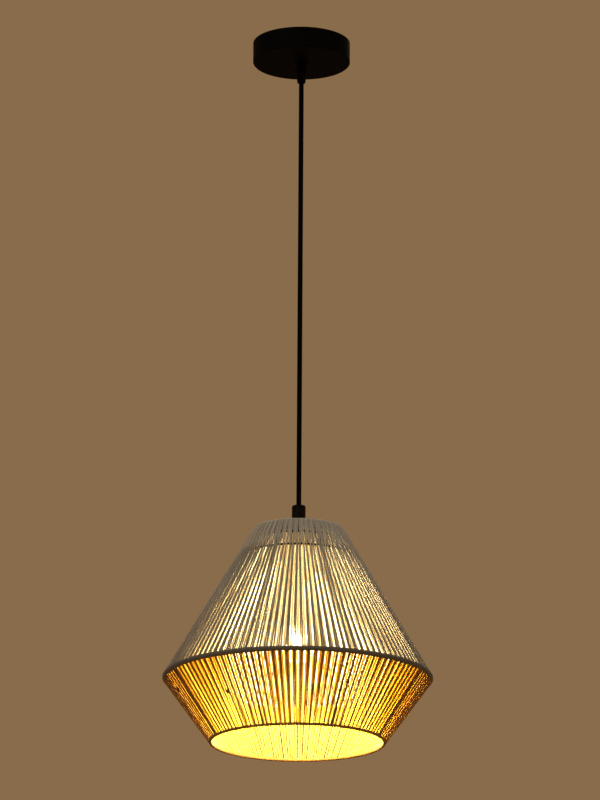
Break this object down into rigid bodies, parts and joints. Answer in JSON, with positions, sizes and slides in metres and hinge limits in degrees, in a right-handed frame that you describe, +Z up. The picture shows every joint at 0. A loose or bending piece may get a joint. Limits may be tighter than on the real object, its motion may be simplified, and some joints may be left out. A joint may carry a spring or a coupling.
{
  "type": "pendant lantern",
  "caption": "Hanging lantern: ceiling canopy, straight black cord and a bicone string-wound shade on a wire frame round a globe lamp in a screw holder.",
  "frame": {"origin": "on the ceiling surface, at the centre of the bracket's two fixing slots, on the vertical axis of the hanging lamp", "axes": "+Z up, along the cord; X along the ceiling bracket; the lamp hangs towards -Z"},
  "size_m": [0.3234, 0.3234, 0.8859],
  "materials": {
    "black_metal": "matt black powder coat",
    "black_plastic": "moulded matt black",
    "screw_black": "blackened steel",
    "zinc_steel": "zinc plated",
    "connector_plastic": "translucent white nylon",
    "brass": "bright brass",
    "cord_sheath": "matt black round sheath",
    "core_insulation": "coloured core insulation",
    "ceramic_white": "glazed white",
    "frame_steel": "dark coated wire",
    "string_white": "twisted off-white string",
    "string_natural": "twisted natural string",
    "string_grey": "close binding of off-white string",
    "string_brown": "close binding of natural string",
    "lamp_glass": "clear glass with a faint warm tint",
    "holder_plastic": "moulded warm beige",
    "rib_cream": "cream coated wire",
    "rib_brown": "brown coated wire",
    "lamp_cap_metal": "rolled thin metal",
    "lamp_insulator": "black vitrite",
    "stem_glass": "clear glass",
    "light_strip": "lit phosphor strip"
  },
  "bodies": {
    "ceiling": {"ceiling_bracket": "zinc_steel", "canopy_cup": "black_metal", "canopy_side_screws": "screw_black", "canopy_cord_grip": "black_plastic", "canopy_grip_nut": "zinc_steel", "canopy_grip_screw": "screw_black", "terminal_block": "connector_plastic", "terminal_screws": "zinc_steel", "earth_screw": "brass", "ceiling_lead": "cord_sheath", "ceiling_cores": "core_insulation"},
    "cord": {"power_cord": "cord_sheath"},
    "holder_grip": {"holder_cord_grip": "black_plastic", "holder_grip_screw": "screw_black", "holder_lead": "cord_sheath"},
    "shade": {"threaded_tube": "zinc_steel", "spider_lock_nut": "zinc_steel", "shade_spider": "frame_steel", "lampholder_cap": "holder_plastic", "lampholder_body": "holder_plastic", "lampholder_insert": "ceramic_white", "screw_shell": "brass", "centre_contact": "brass", "holder_terminals": "brass", "holder_cores": "core_insulation", "top_ring": "frame_steel", "upper_stay_ring": "frame_steel", "lower_stay_ring": "frame_steel", "belly_ring": "frame_steel", "bottom_ring": "frame_steel", "upper_ribs": "rib_cream", "lower_ribs": "rib_brown", "upper_winding": "string_white", "lower_winding": "string_natural", "belly_binding": "string_grey", "bottom_binding": "string_brown"},
    "lamp": {"lamp_globe": "lamp_glass", "lamp_screw_cap": "lamp_cap_metal", "lamp_insulator": "lamp_insulator", "lamp_tip_contact": "lamp_cap_metal", "lamp_stem": "stem_glass", "lamp_filaments": "light_strip"}
  },
  "joints": [
    {"name": "cord_swing", "type": "hinge", "parent": "ceiling", "child": "cord", "pos_m": [0, 0, -0.049], "axis": [0, 1, 0], "range_deg": [-25, 25]},
    {"name": "shade_tilt", "type": "hinge", "parent": "cord", "child": "holder_grip", "pos_m": [0, 0, -0.5964], "axis": [1, 0, 0], "range_deg": [-20, 20]},
    {"name": "shade_turn", "type": "hinge", "parent": "holder_grip", "child": "shade", "pos_m": [0, 0, -0.6214], "axis": [0, 0, 1], "range_deg": [-180, 180]},
    {"name": "lamp_unscrew", "type": "slide", "parent": "shade", "child": "lamp", "axis": [0, 0, -1], "range_m": [0, 0.026]}
  ]
}
